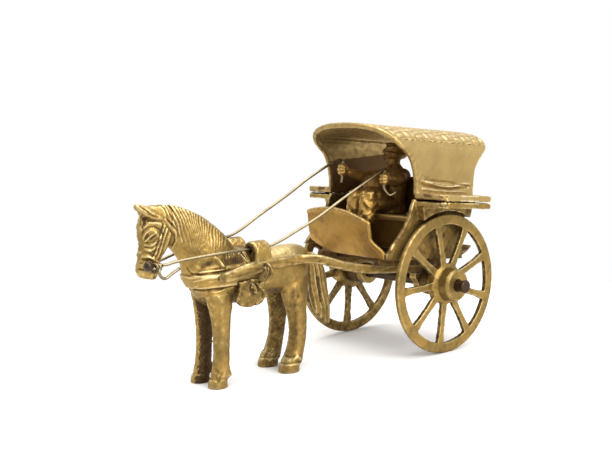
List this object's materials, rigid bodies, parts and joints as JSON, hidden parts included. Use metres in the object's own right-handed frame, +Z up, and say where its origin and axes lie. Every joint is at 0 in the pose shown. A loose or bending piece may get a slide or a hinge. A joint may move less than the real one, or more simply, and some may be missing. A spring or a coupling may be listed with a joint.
{
  "type": "horse-drawn carriage model",
  "caption": "Cast brass ornament of a horse between the shafts of a hooded two-wheeled cart, with a seated driver holding wire reins and wheels that turn on a steel axle",
  "frame": {"origin": "on the surface that the model stands on, under the middle of its bounding box", "axes": "+X points the way the horse faces, +Y to the horse's left, +Z up"},
  "size_m": [0.1696, 0.0858, 0.0995],
  "materials": {
    "satin_brass": "satin cast brass, filed and rubbed bright on the high spots, brown in the hollows",
    "bright_brass_wire": "drawn wire, brighter than the castings",
    "aged_brass": "cast brass left as it came from the mould, with a brown patina",
    "dark_steel": "plain rod, dulled to a dark brown"
  },
  "bodies": {
    "carriage": {"horse": "satin_brass", "harness_saddle": "satin_brass", "bit": "dark_steel", "shaft_pin": "dark_steel", "rein_left": "bright_brass_wire", "rein_right": "bright_brass_wire", "shaft_left": "satin_brass", "shaft_right": "satin_brass", "front_crossbar": "aged_brass", "rear_crossbar": "aged_brass", "axle_hanger_left": "aged_brass", "axle_hanger_right": "aged_brass", "axle_collar_left": "aged_brass", "axle_collar_right": "aged_brass", "axle": "dark_steel", "floor": "aged_brass", "dash_panel": "satin_brass", "side_panel_left": "satin_brass", "side_panel_right": "satin_brass", "bench": "aged_brass", "bench_riser": "aged_brass", "backrest": "aged_brass", "hood_side_left": "satin_brass", "hood_side_right": "satin_brass", "roof": "satin_brass", "ledge_rivet_front_left": "satin_brass", "ledge_rivet_front_right": "satin_brass", "ledge_rivet_rear_left": "satin_brass", "ledge_rivet_rear_right": "satin_brass", "driver": "aged_brass"},
    "left_wheel": {"wheel_left": "satin_brass"},
    "right_wheel": {"wheel_right": "satin_brass"}
  },
  "joints": [
    {"name": "left_wheel_spin", "type": "hinge", "parent": "carriage", "child": "left_wheel", "pos_m": [-0.0498, 0.0303, 0.03], "axis": [0, 1, 0], "continuous": true},
    {"name": "right_wheel_spin", "type": "hinge", "parent": "carriage", "child": "right_wheel", "pos_m": [-0.0498, -0.0303, 0.03], "axis": [0, 1, 0], "continuous": true}
  ]
}
